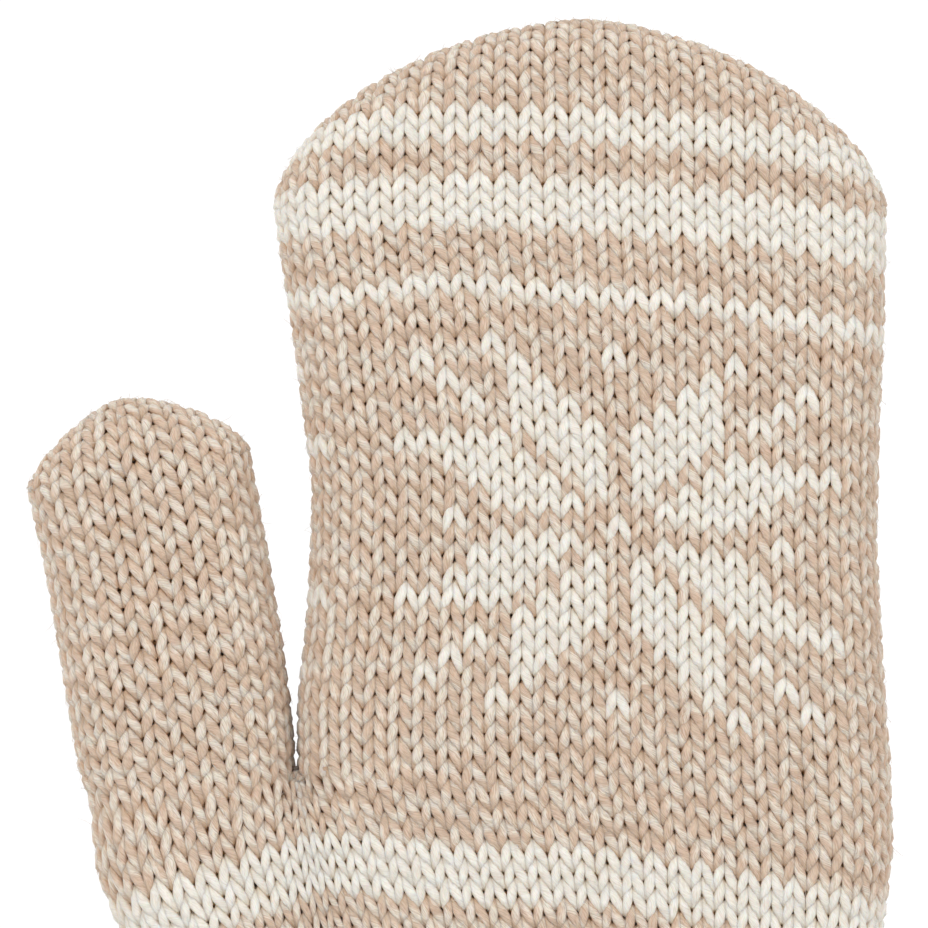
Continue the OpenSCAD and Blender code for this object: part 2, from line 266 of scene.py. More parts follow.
middle = hand_cloth(np.array([HAND_WALES / 2]), np.array([0.0]))
print(f"middle stitch at x {middle[0][0]:.1f}, z {middle[2][0]:.1f} mm")

# %% The palm below the thumb, and the thumb
SLOPE = ([-46, -33, -24, -18, -14, CROTCH_ROW], [0, 6, 17, 22, 13.4, 10])      # degrees, by row
THUMB_ROW = 3.26                       # height of a row along the thumb


def palm_side(c, row):
    """Points of the palm's front below the thumb, where the thumb's wales run on down."""
    start_z = row_height(row, np.full_like(c, -43.4))
    for _ in range(3):
        start_x = edge(INNER_LINE, np.minimum(start_z, CROTCH_Z))
        start_z = row_height(row, start_x)
    slope = np.radians(edge(SLOPE, row))
    length = np.full_like(c, 36.0)
    for _ in range(6):
        length = (start_x - edge(PALM_EDGE, start_z - length * np.sin(slope))) / np.cos(slope)
    rel = open_out(row, THUMB_WALES - c, THUMB_WALES, length)
    from_edge, share = roll(length + ROLL - rel)
    rel = np.where(rel > length / 2, length - from_edge, rel)
    share = pucker(share, rel, CROTCH_Z - start_z)
    thick = THUMB_T + smooth((CROTCH_ROW - row) / 5) - cuff_thinning(start_z - rel * np.sin(slope))
    return start_x - rel * np.cos(slope), share * thick, start_z - rel * np.sin(slope)


def tilt(p, up):
    cos, sin = math.cos(THUMB_TILT), math.sin(THUMB_TILT)
    return p * cos - up * sin, p * sin + up * cos


def thumb_form(c, q):
    """Points of the thumb's front at q up the thumb: c from 0 at the outer side to 11 at the hand."""
    level = np.clip(q, 0, THUMB_SHOULDER)
    outer, inner = edge(THUMB_OUT, level), edge(THUMB_IN, level)
    flat = outer - ROLL + c / THUMB_WALES * (inner - outer + 2 * ROLL)
    from_outer, share_outer = roll(flat - outer + ROLL)
    from_inner, share_inner = roll(inner + ROLL - flat)
    on_left = c < THUMB_WALES / 2
    p, up = np.where(on_left, outer + from_outer, inner - from_inner), q.copy()
    share = np.minimum(share_outer, share_inner)
    y = THUMB_T * share
    seam_left = np.full_like(c, NO_SEAM)
    out = way_out(np.where(on_left, -1, 1), share, q > THUMB_SHOULDER - OUT_KNOWN)
    tip = q > THUMB_SHOULDER
    if tip.any():
        p[tip], up[tip], tip_share, seam_left[tip], out[tip] = fold_tip(flat[tip], q[tip], THUMB_TIP)
        gap = SEAM_GAP * smooth((q[tip] - THUMB_SHOULDER) / 5)
        y[tip] = gap + (THUMB_T - gap) * tip_share
    x, z = tilt(p, up)
    out[:, 0], out[:, 2] = tilt(out[:, 0], out[:, 2])
    return THUMB_ROOT[0] + x, y, THUMB_ROOT[1] + z, seam_left, out


def thumb_cloth(c, row):
    """Points of the thumb's front, set without a step on the palm side it grows out of."""
    q = (row - CROTCH_ROW) * THUMB_ROW
    x, y, z, seam_left, out = thumb_form(c, np.clip(q, 0, None))
    foot = thumb_form(c, np.zeros_like(c))[:3]
    start = palm_side(c, np.full_like(c, CROTCH_ROW))
    fade = 1 - smooth(q / 9)
    x, y, z = (here + fade * (to - at) for here, at, to in zip((x, y, z), foot, start))
    below = row < CROTCH_ROW
    if below.any():
        x[below], y[below], z[below] = palm_side(c[below], row[below])
    return x, y, z, seam_left, out


print(f"thumb {THUMB_IN[1][-1] - THUMB_OUT[1][-1]:.1f} mm wide at its shoulder")

# %% Any place on the cloth
ROOM = 3.2                             # rows by which hand and palm may overlap away from the crotch
REACH = 0.04                           # part of a stitch over which a direction is measured


def cloth(ring, wale, row):
    """Points of the cloth's outer face, the cloth left to the seam, and on a tip the way out of it."""
    half = RINGS[ring]
    wale = np.mod(wale, 2 * half)
    front = wale <= half
    c = np.where(front, wale, 2 * half - wale)
    from_crotch = {"palm": np.abs(c - THUMB_WALES), "hand": c, "thumb": THUMB_WALES - c}[ring]
    room = ROOM * smooth(from_crotch / 3)
    if ring == "hand":
        x, y, z, left, out = hand_cloth(c, np.maximum(row, CROTCH_ROW + 0.15 - room))
    elif ring == "thumb":
        x, y, z, left, out = thumb_cloth(c, np.maximum(row, CROTCH_ROW + 0.15 - room))
    else:
        x, y, z = np.zeros((3, len(c)))
        left, out = np.full_like(c, NO_SEAM), np.zeros((len(c), 3))
        row = np.minimum(row, CROTCH_ROW - 0.5 + room)
        side = c < THUMB_WALES
        if side.any():
            x[side], y[side], z[side] = thumb_cloth(c[side], row[side])[:3]
        if (~side).any():
            x[~side], y[~side], z[~side] = hand_cloth(c[~side] - THUMB_WALES, row[~side])[:3]
    out[:, 1] = np.where(front, out[:, 1], -out[:, 1])
    return np.stack([x, np.where(front, -y, y), z], axis=1), left, out


def cloth_frame(ring, wale, row):
    """Points of the cloth with the way out of it and the width of a wale there."""
    point, _, out = cloth(ring, wale, row)
    across = (cloth(ring, wale + REACH, row)[0] - cloth(ring, wale - REACH, row)[0]) / (2 * REACH)
    rise = (cloth(ring, wale, row + REACH)[0] - cloth(ring, wale, row - REACH)[0]) / (2 * REACH)
    known = np.linalg.norm(out, axis=1) > 0.5
    out = np.where(known[:, None], out, unit(np.cross(across, rise)))
    return point, out, np.linalg.norm(across, axis=1)


wale_width = cloth_frame("hand", np.array([14.0]), np.array([0.0]))[2][0]
print(f"a wale is {wale_width:.2f} mm wide at the star")

# %% [markdown]
# ## One stitch
# A knitted loop goes up one leg, over its head and down the other. Seen from the front
# only the legs show, as a V. This mitten was begun at the fingertips, so its heads point
# down and the V stands on its open end. The path below is the classic loop curve: a sine
# along the row, a cosine across it and a second cosine into the depth.

# %% The path of the yarn through a row of stitches
STEPS, SIDES = 14, 8                   # points along a stitch and round the yarn
LOOP_H, LOOP_A, LOOP_D = 1.06, 0.265, 0.8
LOOP_LEAN = 0.05                       # how far a stitch leans to the left for each row it rises
YARN_W, YARN_D = 0.91, 0.82            # half the yarn's width and depth
FULL_WALE = 4.1                        # a narrower wale has thinner yarn
SIDEWAYS, UPWARDS, IN_AND_OUT, PLUMPNESS = 0.027, 0.055, 0.05, 0.05     # how far stitches stray
RIB_FROM, RIB_DEPTH = -32.5, 1.5


def wander(tau, ring_len, amount, spacing=0.5):
    """A slow random drift along a row, the same at both ends of a ring."""
    n = int(ring_len / spacing)
    value = rng.normal(0, amount, n)
    value = np.append(value, value[0])
    return np.interp(np.mod(tau, ring_len), np.linspace(0, ring_len, n + 1), value)


def rib(ring, wale, row):
    """How far back each wale of the 2 by 2 rib lies, and which way its loops face: 1 knit, -1 purl."""
    if ring != "palm":
        return np.zeros_like(wale), np.ones_like(wale)
    wave = np.cos(2 * math.pi * (wale - 1) / 4)
    on = smooth((RIB_FROM - row) / 3)
    facing = 1 - on + on * np.clip(1.7 * wave, -1, 1)
    return on * -RIB_DEPTH * (1 - wave) / 2, facing


def yarn_path(ring, row, first, last):
    """Centre line of one row's yarn from stitch first up to stitch last, with its frame and size."""
    ring_len = 2 * RINGS[ring]
    tau = first + np.arange((last - first) * STEPS + (last - first < ring_len)) / STEPS
    phase = 2 * math.pi * (tau - 0.5)
    side = tau + LOOP_A * np.sin(2 * phase) + LOOP_LEAN * LOOP_H * np.cos(phase)
    side += wander(tau, ring_len, SIDEWAYS)
    up = row - LOOP_H * np.cos(phase) + wander(tau, ring_len, UPWARDS)
    back, facing = rib(ring, side, np.full_like(side, float(row)))
    depth = -YARN_D - LOOP_D * (1 + facing * np.cos(2 * phase)) + back
    depth += wander(tau, ring_len, IN_AND_OUT)
    point, out, wale = cloth_frame(ring, side, up)
    plump = 0.56 + 0.48 * np.sin(phase) ** 2 + wander(tau, ring_len, PLUMPNESS)
    width = YARN_W * plump * np.clip(wale / FULL_WALE, 0.65, 1.05)
    # How deep the yarn lies in the cloth, less so in purl loops; the wool paints shade by this depth.
    shade_depth = np.clip(back - depth - YARN_D, 0, 2.5) / 2.5 * (0.7 + 0.3 * facing)
    return point + out * depth[:, None], out, width, YARN_D * (0.3 + 0.7 * plump), shade_depth


print("one stitch has", STEPS * SIDES * 2, "triangles and its hairs")

# %% [markdown]
# ## The pattern chart
# Stranded knitting is drawn on squared paper, one square for each stitch. Cream squares
# make the stripes and an eight-petalled star. The star is worked on the back of the hand
# and again on the palm side, where its tips come round the thumb's edge.

# %% The chart
STAR_WALES = (14, 46)                  # middle of the star on the back and on the palm side
CREAM_ROWS = {21, 22, 16, 17, 18, 12, -17, -18, -19}


def star_square(a, b):
    a, b = abs(a), abs(b)
    upright = 1 <= a <= 4 and a + 1 <= b <= a + 4
    lying = (1 <= b <= 4 and b + 1 <= a <= b + 4) or (a, b) == (9, 4)
    corner = (a, b) in {(5, 9), (6, 6), (7, 7), (8, 8), (7, 0), (0, 9), (0, 0)}
    return upright or lying or corner


def chart(ring, row, wale):
    """Which yarn a stitch is knitted in: cream, or one of the two stars, or beige."""
    if ring != "thumb" and row in CREAM_ROWS:
        return "cream"
    if ring == "hand" and abs(row) <= 9:
        for name, centre in zip(("back_star", "palm_star"), STAR_WALES):
            if star_square((wale - centre + HAND_WALES) % (2 * HAND_WALES) - HAND_WALES, row):
                return name
    return "beige"


for row in range(9, -10, -1):
    print("".join("." if chart("hand", row, w) == "beige" else "#" for w in range(2 * HAND_WALES)))


# %% Runs of one yarn
def kept_stitches(ring, row):
    """Which stitches of a row exist: on a tip they stop at the seam."""
    n = 2 * RINGS[ring]
    return cloth(ring, np.arange(n) + 0.5, np.full(n, float(row)))[1] > SEAM_GAP


def runs_of(ring, rows, yarn):
    """The runs of stitches in these rows that are knitted in this yarn, as (ring, row, first, last)."""
    found = []
    n = 2 * RINGS[ring]
    for row in rows:
        kept = kept_stitches(ring, row)
        mine = [bool(kept[w]) and chart(ring, row, w) == yarn for w in range(n)]
        if all(mine):
            found.append((ring, row, 0, n))
            continue
        start = next(w for w in range(n) if not mine[w])
        first = None
        for step in range(n + 1):
            w = (start + step) % n
            if mine[w] and first is None:
                first = start + step
            if not mine[w] and first is not None:
                found.append((ring, row, first, start + step))
                first = None
    return found


print("runs in the star's widest row:", len(runs_of("hand", [4], "back_star")))

# %% [markdown]
# ## From path to wool
# A tube is swept along each path. Its eight sides swell twice round the yarn and turn as
# they go, which is how two plies lie round each other, so the twist is real and not drawn.
# Wool also sheds short hairs, and a few on each stitch soften its outline.

# %% Loose fibres
FIBRES_A_STITCH = 7
HAIR_R = 0.035
DEEPEST_ROOT = 0.35                    # hairs only grow where the yarn is near the surface


def fibre_roots(point, tangent, wide, high, width, deep, shade_depth, laps, stitches):
    """Loose fibres of one run: place, reach, bend and the place on the yarn map that colours them."""
    at = rng.integers(0, len(point), stitches * FIBRES_A_STITCH * 3)
    at = at[shade_depth[at] < DEEPEST_ROOT][:stitches * FIBRES_A_STITCH]
    turn = rng.uniform(0.1, 0.9, len(at)) * math.pi
    side = np.cos(turn)[:, None] * wide[at] * width[at][:, None]
    rise = np.sin(turn)[:, None] * high[at] * deep[at][:, None]
    root = point[at] + 0.85 * (side + rise)
    way = (side + rise) * rng.uniform(0.1, 0.6, len(at))[:, None]
    along = rng.choice([-1, 1], len(at))[:, None] * rng.uniform(0.5, 1.2, len(at))[:, None]
    way += tangent[at] * along
    way += rng.normal(0, 0.25, way.shape)
    way = unit(way)
    length = rng.gamma(4.0, 0.34, len(at))[:, None]
    bend = rng.normal(0, 0.3, way.shape) - 0.25 * high[at]
    lap, round_yarn = laps[at][:, None], (turn / 2 / math.pi)[:, None]
    return np.concatenate([root, way * length, bend * length, lap, round_yarn], 1)


def fibres(roots, base):
    """Thin three-sided hairs in two lengths, each closed to a point."""
    root, reach, bend = roots[:, 0:3], roots[:, 3:6], roots[:, 6:9]
    middle, end = root + reach * 0.55, root + reach + bend
    side = unit(np.cross(reach, rng.normal(0, 1, reach.shape)))
    other = unit(np.cross(reach, side))
    rings = []
    for centre in (root, middle):
        for a in 2 * math.pi * np.arange(3) / 3:
            rings.append(centre + HAIR_R * (math.cos(a) * side + math.sin(a) * other))
    verts = np.stack(rings + [end], 1).reshape(-1, 3)
    shape = [[2, 1, 0]]
    for k, n in ((0, 1), (1, 2), (2, 0)):
        shape += [[k, n, 3 + n], [k, 3 + n, 3 + k], [3 + k, 3 + n, 6]]
    faces = (np.arange(len(roots))[:, None, None] * 7 + np.array(shape)[None]).reshape(-1, 3) + base
    return verts, faces, np.repeat(roots[:, 9:11], len(shape) * 3, axis=0)


print(FIBRES_A_STITCH, "hairs a stitch")


# %% Meshes from arrays
def triangle_count(mesh):
    return len(mesh.loops) - 2 * len(mesh.polygons)


def build_mesh(name, verts, quads, triangles, uvs, shade_depth):
    """A Blender object from arrays in millimetres: faces, yarn map and the depth that sets painted shade."""
    mesh = bpy.data.meshes.new(name)
    mesh.vertices.add(len(verts))
    mesh.vertices.foreach_set("co", (verts * MM).astype(np.float32).ravel())
    mesh.loops.add(quads.size + triangles.size)
    corners = np.concatenate([quads.ravel(), triangles.ravel()]).astype(np.int32)
    mesh.loops.foreach_set("vertex_index", corners)
    mesh.polygons.add(len(quads) + len(triangles))
    starts = np.concatenate([np.arange(len(quads)) * 4, quads.size + np.arange(len(triangles)) * 3])
    mesh.polygons.foreach_set("loop_start", starts.astype(np.int32))
    mesh.update(calc_edges=True)
    mesh.validate()
    mesh.polygons.foreach_set("use_smooth", np.ones(len(mesh.polygons), bool))
    layer = mesh.uv_layers.new(name="yarn")
    layer.data.foreach_set("uv", uvs.astype(np.float32).ravel())
    # Depth of each point, which the wool turns into painted shade.
    deep = mesh.attributes.new("shade_depth", "FLOAT", "POINT")
    deep.data.foreach_set("value", shade_depth.astype(np.float32))
    obj = bpy.data.objects.new(name, mesh)
    bpy.context.scene.collection.objects.link(obj)
    return obj


def tube_quads(n, sides, closed):
    """The faces of a tube of n rings, with the ring and the side where each begins."""
    i, j = np.meshgrid(np.arange(n if closed else n - 1), np.arange(sides), indexing="ij")
    after, beside = (i + 1) % n, (j + 1) % sides
    quads = np.stack([i * sides + j, i * sides + beside, after * sides + beside, after * sides + j], -1)
    return quads.reshape(-1, 4), i, j


def yarn_map(laps, i, j, sides):
    """The map of a tube's faces: laps of the twist along the yarn, and one turn round it."""
    here, ahead, low, high = laps[i], laps[i + 1], j / sides, (j + 1) / sides
    return np.stack([here, low, here, high, ahead, high, ahead, low], -1).reshape(-1, 2)


print("faces of one round of yarn in the cuff:", len(tube_quads(2 * RINGS["palm"] * STEPS, SIDES, True)[0]))

# %% Sweep the yarn
PLY_PITCH = 6.6                        # length of yarn in which one ply goes round once
SWELL, PLY_BULGE = 0.93, 0.15


def run_frame(point, out, closed):
    """The ways along, across and out of a run of yarn, and the length of its steps."""
    if closed:
        tangent = np.roll(point, -1, 0) - np.roll(point, 1, 0)
        length = np.linalg.norm(np.roll(point, -1, 0) - point, axis=1)
    else:
        tangent = np.gradient(point, axis=0)
        length = np.linalg.norm(np.diff(point, axis=0, append=point[-1:]), axis=1)
    tangent = unit(tangent)
    wide = unit(np.cross(out, tangent))
    return tangent, wide, np.cross(tangent, wide), length


def twist_laps(length, closed):
    """Where the twist stands at each step. A closed run has whole laps, so that its ends meet."""
    laps = np.concatenate([[0], np.cumsum(length)]) / PLY_PITCH
    if closed:
        laps *= round(laps[-1]) / laps[-1]
    return laps + rng.random()


def yarn_tubes(name, runs):
    """One mesh of yarn from runs of (ring, row, first, last)."""
    verts, faces, shade_depths, uvs, roots, base = [], [], [], [], [], 0
    angle = np.arange(SIDES) * 2 * math.pi / SIDES
    for ring, row, first, last in runs:
        point, out, width, deep, shade_depth = yarn_path(ring, row, first, last)
        n, closed = len(point), last - first == 2 * RINGS[ring]
        tangent, wide, high, length = run_frame(point, out, closed)
        laps = twist_laps(length, closed)
        swell = SWELL + PLY_BULGE * np.cos(angle[None, :] + 2 * math.pi * laps[:n, None]) ** 2
        across = wide[:, None, :] * np.cos(angle)[None, :, None] * width[:, None, None]
        rise = high[:, None, :] * np.sin(angle)[None, :, None] * deep[:, None, None]
        verts.append((point[:, None, :] + (across + rise) * swell[:, :, None]).reshape(-1, 3))
        # Painted shade: the side of the yarn turned into the cloth counts as deeper, so it is painted darker.
        shade_depths.append((shade_depth[:, None] + 0.26 * (1 - np.sin(angle))[None, :]).ravel())
        quads, i, j = tube_quads(n, SIDES, closed)
        faces.append(quads + base)
        uvs.append(yarn_map(laps, i, j, SIDES))
        rim = base + np.arange(SIDES)
        for end, lap in () if closed else ((rim[::-1], laps[0]), (rim + (n - 1) * SIDES, laps[n - 1])):
            faces.append(np.stack([end[[0, 1, 2, 3]], end[[0, 3, 4, 7]], end[[4, 5, 6, 7]]]))
            uvs.append(np.tile([lap, 0.5], (12, 1)))
        roots.append(fibre_roots(point, tangent, wide, high, width, deep, shade_depth, laps[:n], last - first))
        base += n * SIDES
    hair_verts, hair_faces, hair_uvs = fibres(np.concatenate(roots), base)
    shade_depths.append(np.zeros(len(hair_verts)))
    return build_mesh(name, np.concatenate(verts + [hair_verts]), np.concatenate(faces), hair_faces,
                      np.concatenate(uvs + [hair_uvs]), np.concatenate(shade_depths))


print(f"a lap of the twist every {PLY_PITCH} mm of yarn")


# %% Round threads, for seams and hems
def tube(name, path, radius, closed):
    """A round thread along a path, as a mesh with the yarn map on it."""
    n, sides = len(path), 6
    tangent = unit(np.roll(path, -1, 0) - np.roll(path, 1, 0) if closed else np.gradient(path, axis=0))
    wide = unit(np.cross(tangent, [0.31, 0.52, 0.79]))
    high = np.cross(tangent, wide)
    angle = np.arange(sides) * 2 * math.pi / sides
    across = wide[:, None] * np.cos(angle)[None, :, None] + high[:, None] * np.sin(angle)[None, :, None]
    verts = (path[:, None] + radius * across).reshape(-1, 3)
    quads, i, j = tube_quads(n, sides, closed)
    uvs = yarn_map(np.arange(n + 1) * 0.6 * radius, i, j, sides)
    ends = np.zeros((0, 3), int)
    if not closed:
        last = (n - 1) * sides
        fan = range(1, sides - 1)
        ends = np.array([[0, k + 1, k] for k in fan] + [[last, last + k, last + k + 1] for k in fan])
        uvs = np.concatenate([uvs, np.zeros((len(ends) * 3, 2))])
    return build_mesh(name, verts, quads, ends, uvs, np.zeros(len(verts)))


# %% [markdown]
# ## Yarn that looks spun
# The marl is one off-white ply and one tan ply. Both yarns share a twist group, which
# reads the map along and round the yarn and gives a ply mask, the groove between plies
# and a height of fine fibres. Each yarn's material keeps its own colours and shader, and
# paints shade where the yarn lies deep in the cloth.

# %% Helpers for materials
WHITE = (1.0, 1.0, 1.0)


def node(tree, kind, **values):
    made = tree.nodes.new(kind)
    for key, value in values.items():
        setattr(made, key, value)
    return made


def settings(made, values):
    for name, value in values.items():
        made.inputs[name].default_value = value


def math_node(tree, kind, a, b=None, c=None):
    made = node(tree, "ShaderNodeMath", operation=kind)
    for k, value in enumerate((a, b, c)):
        if value is None:
            continue
        if isinstance(value, (int, float)):
            made.inputs[k].default_value = value
        else:
            tree.links.new(value, made.inputs[k])
    return made.outputs[0]


def noise(tree, vector, scale, detail):
    made = node(tree, "ShaderNodeTexNoise")
    tree.links.new(vector, made.inputs["Vector"])
    made.inputs["Detail"].default_value = detail
    if isinstance(scale, (int, float)):
        made.inputs["Scale"].default_value = scale
    else:
        tree.links.new(scale, made.inputs["Scale"])
    return made.outputs[0]


def ramp(tree, value, stops):
    made = node(tree, "ShaderNodeValToRGB")
    tree.links.new(value, made.inputs[0])
    marks = made.color_ramp.elements
    while len(marks) < len(stops):
        marks.new(0.5)
    for mark, (at, colour) in zip(marks, stops):
        mark.position = at
        mark.color = (*colour, 1)
    return made.outputs[0]


def mix(tree, kind, factor, a, b):
    made = node(tree, "ShaderNodeMix", data_type="RGBA", blend_type=kind)
    for socket, value in ((made.inputs["Factor"], factor), (made.inputs["A"], a), (made.inputs["B"], b)):
        if isinstance(value, (int, float)):
            socket.default_value = value
        elif isinstance(value, tuple):
            socket.default_value = (*value, 1)
        else:
            tree.links.new(value, socket)
    return made.outputs["Result"]


def new_material(name):
    material = bpy.data.materials.new(name)
    material.use_nodes = True
    return material, material.node_tree, material.node_tree.nodes["Principled BSDF"]


def finish_material(tree, shader, colour, roughness, sheen, height, strength, distance):
    """Joins a colour and a bumpy height to the shader of a cloth."""
    tree.links.new(colour, shader.inputs["Base Color"])
    settings(shader, {"Roughness": roughness, "Sheen Weight": sheen})
    bump = node(tree, "ShaderNodeBump")
    settings(bump, {"Strength": strength, "Distance": distance})
    tree.links.new(height, bump.inputs["Height"])
    tree.links.new(bump.outputs[0], shader.inputs["Normal"])


# %% Twist group
def twist_group():
    tree = bpy.data.node_groups.new("yarn_twist", "ShaderNodeTree")
    for name in ("Fibre scale", "Slub"):
        tree.interface.new_socket(name, in_out="INPUT", socket_type="NodeSocketFloat")
    for name in ("Ply", "Groove", "Fibres", "Slow"):
        tree.interface.new_socket(name, in_out="OUTPUT", socket_type="NodeSocketFloat")
    into, out = node(tree, "NodeGroupInput"), node(tree, "NodeGroupOutput")
    uv = node(tree, "ShaderNodeUVMap", uv_map="yarn")
    parts = node(tree, "ShaderNodeSeparateXYZ")
    tree.links.new(uv.outputs[0], parts.inputs[0])
    along, round_yarn = parts.outputs[0], parts.outputs[1]
    wobble = node(tree, "ShaderNodeTexNoise", noise_dimensions="1D")
    settings(wobble, {"Scale": 1.0, "Detail": 1.0})
    tree.links.new(along, wobble.inputs["W"])
    lap = math_node(tree, "MULTIPLY_ADD", math_node(tree, "SUBTRACT", wobble.outputs[0], 0.5),
                    into.outputs["Slub"], math_node(tree, "ADD", along, round_yarn))
    turn = math_node(tree, "MULTIPLY", lap, 2 * math.pi)
    cos, sin = math_node(tree, "COSINE", turn), math_node(tree, "SINE", turn)
    tree.links.new(cos, out.inputs["Ply"])
    tree.links.new(math_node(tree, "ABSOLUTE", sin), out.inputs["Groove"])
    grain = node(tree, "ShaderNodeCombineXYZ")
    for k, value in enumerate((cos, sin, math_node(tree, "MULTIPLY", along, 1.3))):
        tree.links.new(value, grain.inputs[k])
    tree.links.new(noise(tree, grain.outputs[0], into.outputs["Fibre scale"], 5.0), out.inputs["Fibres"])
    coords = node(tree, "ShaderNodeTexCoord")
    tree.links.new(noise(tree, coords.outputs["Object"], 330.0, 2.0), out.inputs["Slow"])
    return tree


TWIST = twist_group()
print("twist group gives:", [s.name for s in TWIST.interface.items_tree if s.in_out == "OUTPUT"])


# %% Beige and cream wool
def wool(name, pale, dark, painted_shade_colour, marl, streaky=0.8):
    """A yarn: pale and dark are its two plies, and its third colour is painted shade deep in the cloth."""
    material, tree, shader = new_material(name)
    twist = node(tree, "ShaderNodeGroup", node_tree=TWIST)
    settings(twist, {"Fibre scale": 4.6, "Slub": 0.9})
    strands = twist.outputs["Fibres"]
    ply = math_node(tree, "ADD", math_node(tree, "MULTIPLY", twist.outputs["Ply"], 0.5), 0.5)
    ply = math_node(tree, "MULTIPLY_ADD", math_node(tree, "SUBTRACT", strands, 0.5), 1.1, ply)
    colour = ramp(tree, ply, ((0.58 - marl / 2, dark), (0.58 + marl / 2, pale)))
    streak = ramp(tree, strands, ((0.36, (0.70, 0.64, 0.58)), (0.57, WHITE)))
    colour = mix(tree, "MULTIPLY", streaky, colour, streak)
    cloud = ramp(tree, twist.outputs["Slow"], ((0.3, (0.90, 0.88, 0.86)), (0.7, WHITE)))
    colour = mix(tree, "MULTIPLY", 0.6, colour, cloud)
    # Painted shade: the yarn fades to its shade colour where it lies deep in the cloth or faces into it.
    deep = node(tree, "ShaderNodeAttribute", attribute_name="shade_depth")
    fade = ramp(tree, deep.outputs["Fac"], ((0.10, (0, 0, 0)), (0.58, WHITE)))
    colour = mix(tree, "MIX", fade, colour, painted_shade_colour)
    height = math_node(tree, "MULTIPLY_ADD", twist.outputs["Groove"], -0.5, strands)
    finish_material(tree, shader, colour, 0.9, 0.25, height, 0.85, 0.0003)
    settings(shader, {"Specular IOR Level": 0.15, "Sheen Roughness": 0.5, "Sheen Tint": (1.0, 0.97, 0.93, 1)})
    settings(shader, {"Subsurface Weight": 0.3, "Subsurface Scale": 0.002})
    settings(shader, {"Subsurface Radius": (1.0, 0.55, 0.3)})
    return material


# Each yarn's third colour is the painted shade it takes deep in the cloth.
BEIGE = wool("marl_wool", (0.79, 0.71, 0.62), (0.67, 0.52, 0.41), (0.50, 0.25, 0.10), 0.6)
CREAM = wool("cream_wool", (0.87, 0.83, 0.765), (0.83, 0.78, 0.71), (0.72, 0.50, 0.28), 0.8, streaky=0.45)
print("materials:", [m.name for m in bpy.data.materials])

# %% [markdown]
# ## Knit the mitten
# Each piece below is one band of one yarn. A band may bend across one joint only, so the
# longer bands are cut between rows where the cloth on both sides moves the same way.

# %% Where the mitten bends
def along_thumb(q):
    x, z = tilt(0, q)
    return ((THUMB_ROOT[0] + x) * MM, 0.0, (THUMB_ROOT[1] + z) * MM)


WRIST = ("cuff", "palm", (0, 0, 0.045), (0, 0, 0.080))
KNUCKLES = ("palm", "fingers", (0, 0, 0.133), (0, 0, 0.160))
FINGER_JOINTS = ("fingers", "fingertips", (0, 0, 0.192), (0, 0, 0.220))
THUMB_BASE = ("palm", "thumb", along_thumb(0), along_thumb(25))
THUMB_JOINT = ("thumb", "thumb_tip", along_thumb(26), along_thumb(46))


def place(obj, material, moves, stands_for):
    """Gives a piece its finish, fixes it to a body or else applies its transform, and hides what it stands
    for.
    """
    obj.data.materials.append(material)
    if isinstance(moves, str):
        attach(obj, moves)
    else:
        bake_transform(obj)
    if stands_for:
        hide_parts(stands_for)


for first, second, start, end in (WRIST, KNUCKLES, FINGER_JOINTS, THUMB_BASE, THUMB_JOINT):
    print(f"{first} to {second}: bends over {math.dist(start, end) * 1000:.0f} mm")


# %% Knit every band
def knit(name, ring, rows, yarn, moves, stands_for=()):
    """A band of stitches in one yarn; rows are its top and bottom row."""
    runs = runs_of(ring, range(rows[0], rows[1] - 1, -1), yarn)
    obj = yarn_tubes(name, runs)
    beige = yarn == "beige"
    place(obj, BEIGE if beige else CREAM, moves, stands_for)
    print(f"{name}: {sum(run[3] - run[2] for run in runs)} stitches, {triangle_count(obj.data)} triangles")


knit("rib_cuff_hem", "palm", (-46, -51), "beige", "cuff", "rib_cuff")
knit("rib_cuff_middle", "palm", (-40, -45), "beige", "cuff")
knit("rib_cuff_wrist", "palm", (-34, -39), "beige", WRIST)
knit("palm_knit_wrist", "palm", (-27, -33), "beige", WRIST, "palm_knit_lower")
knit("palm_knit_heel", "palm", (-20, -26), "beige", "palm")
knit("palm_stripe_knit", "palm", (-17, -19), "cream", "palm", "palm_stripe")
knit("palm_knit_crotch", "palm", (-14, -16), "beige", "palm", "palm_knit_upper")
knit("palm_knit_knuckles", "hand", (-10, -13), "beige", KNUCKLES)
knit("finger_knit_lower", "hand", (0, -9), "beige", KNUCKLES, "finger_knit")
knit("finger_knit_upper", "hand", (10, 1), "beige", FINGER_JOINTS)
for star in ("back_star", "palm_star"):
    knit(f"{star}_lower", "hand", (0, -9), star, KNUCKLES, star)
    knit(f"{star}_upper", "hand", (9, 1), star, FINGER_JOINTS)
knit("tip_knit_lower_row", "hand", (11, 11), "beige", FINGER_JOINTS, "tip_knit_lower")
knit("narrow_stripe_knit", "hand", (12, 12), "cream", FINGER_JOINTS, "narrow_stripe")
knit("tip_knit_middle_rows", "hand", (15, 13), "beige", FINGER_JOINTS, "tip_knit_middle")
knit("wide_stripe_knit", "hand", (18, 16), "cream", FINGER_JOINTS, "wide_stripe")
knit("tip_knit_upper_rows", "hand", (20, 19), "beige", "fingertips", "tip_knit_upper")
knit("top_stripe_knit", "hand", (22, 21), "cream", "fingertips", "top_stripe")
knit("tip_crown_knit", "hand", (30, 23), "beige", "fingertips", "tip_crown")
knit("thumb_knit_root", "thumb", (-6, -13), "beige", THUMB_BASE, "thumb_knit")
knit("thumb_knit_middle", "thumb", (-3, -5), "beige", THUMB_JOINT)
knit("thumb_tip_rows", "thumb", (9, -2), "beige", THUMB_JOINT, "thumb_tip_knit")

# %% [markdown]
# ## Close the crotch
# Where thumb and hand part, a knitter picks up a loose stitch or two so that no hole is
# left. One end of yarn is worked to and fro here through the cloth, from back to palm.

